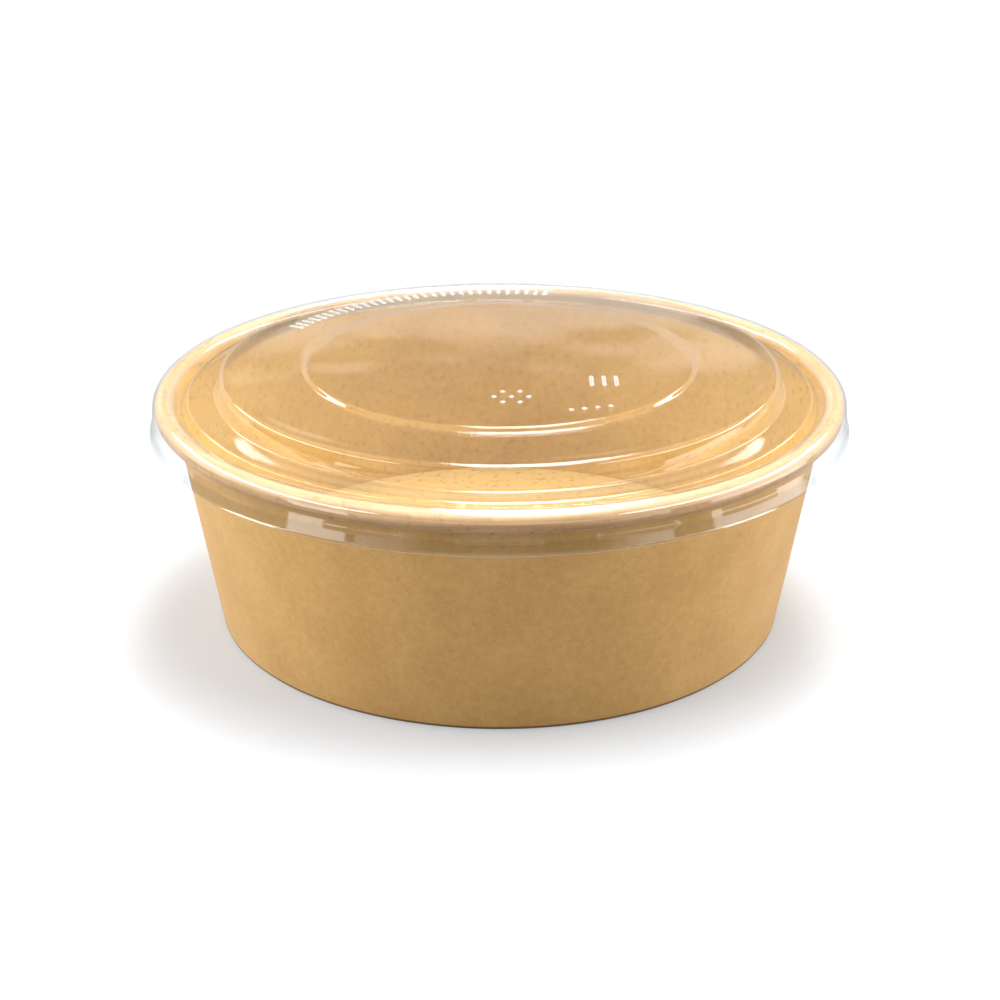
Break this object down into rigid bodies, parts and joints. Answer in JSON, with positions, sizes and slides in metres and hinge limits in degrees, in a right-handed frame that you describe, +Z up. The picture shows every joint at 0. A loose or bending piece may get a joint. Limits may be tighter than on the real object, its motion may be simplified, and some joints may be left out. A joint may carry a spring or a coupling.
{
  "type": "kraft salad bowl",
  "caption": "Round kraft paperboard salad bowl with a curled rim, a recessed bottom and a clear formed push-fit lid with a low stepped dome.",
  "frame": {"origin": "centre of the foot ring, on the surface the bowl stands on", "axes": "+Z up along the axis of the bowl and the lid, +Y towards the glued side seam at the back, +X to the right when seen from the front"},
  "size_m": [0.187, 0.187, 0.0697],
  "materials": {
    "kraft_board": "uncoated brown kraft outside, thin clear film inside",
    "kraft_bottom": "brown kraft, film lined side up",
    "clear_sheet": "clear glossy formed sheet"
  },
  "bodies": {
    "bowl": {"bowl_wall": "kraft_board", "bowl_base": "kraft_bottom"},
    "lid": {"lid": "clear_sheet"}
  },
  "joints": [
    {"name": "lid_lift", "type": "slide", "parent": "bowl", "child": "lid", "axis": [0, 0, 1], "range_m": [0, 0.06]}
  ]
}
